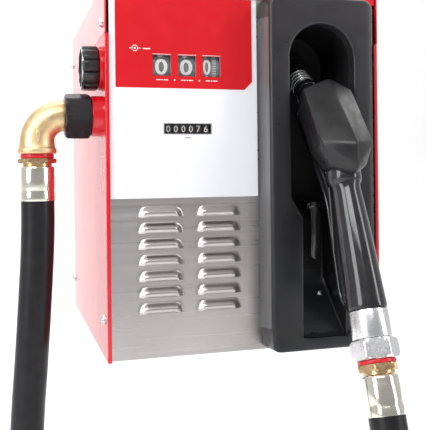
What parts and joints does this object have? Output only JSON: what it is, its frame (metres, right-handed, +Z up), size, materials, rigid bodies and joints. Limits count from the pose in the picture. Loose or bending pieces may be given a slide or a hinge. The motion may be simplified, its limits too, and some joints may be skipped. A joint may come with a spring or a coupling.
{
  "type": "fuel dispenser",
  "caption": "Wall-mounted fuel dispenser: steel cabinet, litre counter, side outlet, coiled delivery hose and automatic nozzle held in a moulded boot.",
  "frame": {"origin": "centre of the wall bolt pattern, on the back face", "axes": "+Y into the wall, so the front faces -Y; +Z up; +X to the right seen from the front"},
  "size_m": [0.5105, 0.618, 0.9049],
  "materials": {
    "dark_steel": "satin",
    "red_paint": "gloss",
    "steel_plate": "brushed",
    "white_paint": "satin",
    "red_label": "gloss",
    "lens": "clear",
    "zinc": "satin",
    "boot_plastic": "fine texture",
    "lever_plastic": "gloss",
    "knob_plastic": "gloss",
    "wheel_grey": "matte",
    "wheel_black": "matte",
    "cast_alloy": "cast",
    "meter_plastic": "matte",
    "black_paint": "satin",
    "brass": "satin",
    "red_seal": "satin",
    "chrome": "polished",
    "steel": "turned",
    "cast_iron": "cast",
    "vane_plastic": "matte",
    "nozzle_black": "gloss",
    "cover_vinyl": "satin",
    "hose_rubber": "matte"
  },
  "bodies": {
    "cabinet": {"back_plate": "dark_steel", "base_tray": "dark_steel", "side_panel_left": "red_paint", "side_panel_right": "red_paint", "hood": "red_paint", "front_plate": "steel_plate", "face_panel": "white_paint", "red_label": "red_label", "window_lenses": "lens", "case_screws": "zinc", "boot_housing": "boot_plastic", "switch_box": "dark_steel", "side_bosses": "red_paint", "counter_frame": "zinc", "meter_body": "cast_alloy", "outlet_pipe": "zinc", "union_nut": "black_paint", "outlet_elbow": "brass", "elbow_seal": "red_seal", "hose_tail_outlet": "brass", "ferrule_outlet": "chrome", "delivery_pipe": "zinc", "pump_body": "cast_iron", "pump_cover": "cast_iron", "pump_caps": "brass", "motor_frame": "cast_alloy", "stator": "cast_iron", "fan_cowl": "black_paint", "cable_gland": "knob_plastic", "hose_drop": "hose_rubber", "hose_coil": "hose_rubber", "hose_rise": "hose_rubber"},
    "nozzle": {"nozzle_body": "nozzle_black", "nozzle_cover": "cover_vinyl", "trigger_guard": "nozzle_black", "spout": "steel", "spout_spring": "steel", "swivel_collar": "chrome"},
    "trigger": {"trigger": "cover_vinyl"},
    "swivel": {"swivel_hex": "steel", "swivel_ring": "red_seal", "hose_tail_nozzle": "brass", "ferrule_nozzle": "chrome"},
    "switch_lever": {"switch_lever": "lever_plastic"},
    "knob": {"knob": "knob_plastic"},
    "litre_wheel_1": {"litre_wheel_1": "wheel_grey"},
    "litre_wheel_2": {"litre_wheel_2": "wheel_grey"},
    "litre_wheel_3": {"litre_wheel_3": "wheel_grey"},
    "meter_rotor": {"meter_rotor": "meter_plastic"},
    "rotor": {"motor_shaft": "zinc", "motor_fan": "meter_plastic", "pump_rotor": "steel", "pump_vanes": "vane_plastic"},
    "bypass_poppet": {"bypass_poppet": "brass"},
    "total_wheel_1": {"total_wheel_1": "wheel_black"},
    "total_wheel_2": {"total_wheel_2": "wheel_black"},
    "total_wheel_3": {"total_wheel_3": "wheel_black"},
    "total_wheel_4": {"total_wheel_4": "wheel_black"},
    "total_wheel_5": {"total_wheel_5": "wheel_black"},
    "total_wheel_6": {"total_wheel_6": "wheel_black"}
  },
  "joints": [
    {"name": "nozzle_lift", "type": "slide", "parent": "cabinet", "child": "nozzle", "axis": [0, -0.8241, -0.5664], "range_m": [0, 0.12], "deforming": ["hose_rise"]},
    {"name": "trigger_pull", "type": "hinge", "parent": "nozzle", "child": "trigger", "pos_m": [0.0794, -0.388, 0.05], "axis": [-1, 0, 0], "range_deg": [0, 5], "stiffness_Nm_per_rad": 2, "springref_deg": -3.44},
    {"name": "swivel_turn", "type": "hinge", "parent": "nozzle", "child": "swivel", "pos_m": [0.0794, -0.52851, -0.18447], "axis": [0, 0.3502, 0.9367], "continuous": true},
    {"name": "switch_swing", "type": "hinge", "parent": "cabinet", "child": "switch_lever", "pos_m": [0.0794, -0.361, -0.045], "axis": [-1, 0, 0], "range_deg": [0, 25]},
    {"name": "knob_turn", "type": "hinge", "parent": "cabinet", "child": "knob", "pos_m": [-0.183, -0.342, 0.1195], "axis": [-1, 0, 0], "continuous": true},
    {"name": "meter_turn", "type": "hinge", "parent": "cabinet", "child": "meter_rotor", "pos_m": [-0.0225, -0.29, 0.1195], "axis": [0, 1, 0], "continuous": true},
    {"name": "litre_3_turn", "type": "hinge", "parent": "cabinet", "child": "litre_wheel_3", "pos_m": [-0.0455, -0.342, 0.1195], "axis": [1, 0, 0], "continuous": true},
    {"name": "litre_2_turn", "type": "hinge", "parent": "cabinet", "child": "litre_wheel_2", "pos_m": [-0.075, -0.342, 0.1195], "axis": [1, 0, 0], "continuous": true},
    {"name": "litre_1_turn", "type": "hinge", "parent": "cabinet", "child": "litre_wheel_1", "pos_m": [-0.1045, -0.342, 0.1195], "axis": [1, 0, 0], "continuous": true},
    {"name": "total_6_turn", "type": "hinge", "parent": "cabinet", "child": "total_wheel_6", "pos_m": [-0.052, -0.3578, 0.048], "axis": [1, 0, 0], "continuous": true},
    {"name": "total_5_turn", "type": "hinge", "parent": "cabinet", "child": "total_wheel_5", "pos_m": [-0.061, -0.3578, 0.048], "axis": [1, 0, 0], "continuous": true},
    {"name": "total_4_turn", "type": "hinge", "parent": "cabinet", "child": "total_wheel_4", "pos_m": [-0.07, -0.3578, 0.048], "axis": [1, 0, 0], "continuous": true},
    {"name": "total_3_turn", "type": "hinge", "parent": "cabinet", "child": "total_wheel_3", "pos_m": [-0.079, -0.3578, 0.048], "axis": [1, 0, 0], "continuous": true},
    {"name": "total_2_turn", "type": "hinge", "parent": "cabinet", "child": "total_wheel_2", "pos_m": [-0.088, -0.3578, 0.048], "axis": [1, 0, 0], "continuous": true},
    {"name": "total_1_turn", "type": "hinge", "parent": "cabinet", "child": "total_wheel_1", "pos_m": [-0.097, -0.3578, 0.048], "axis": [1, 0, 0], "continuous": true},
    {"name": "motor_spin", "type": "hinge", "parent": "cabinet", "child": "rotor", "pos_m": [-0.06, -0.245, -0.135], "axis": [0, 1, 0], "continuous": true},
    {"name": "bypass_lift", "type": "slide", "parent": "cabinet", "child": "bypass_poppet", "axis": [0, 0, 1], "range_m": [0, 0.006], "stiffness_N_per_m": 2000, "springref_m": -0.004}
  ],
  "couplings": [
    {"joint": "litre_3_turn", "follows": "meter_turn", "ratio": 0.25},
    {"joint": "litre_2_turn", "follows": "meter_turn", "ratio": 0.025},
    {"joint": "litre_1_turn", "follows": "meter_turn", "ratio": 0.0025},
    {"joint": "total_6_turn", "follows": "meter_turn", "ratio": 0.25},
    {"joint": "total_5_turn", "follows": "meter_turn", "ratio": 0.025},
    {"joint": "total_4_turn", "follows": "meter_turn", "ratio": 0.0025},
    {"joint": "total_3_turn", "follows": "meter_turn", "ratio": 0.00025},
    {"joint": "total_2_turn", "follows": "meter_turn", "ratio": 0.000025},
    {"joint": "total_1_turn", "follows": "meter_turn", "ratio": 0.0000025}
  ]
}
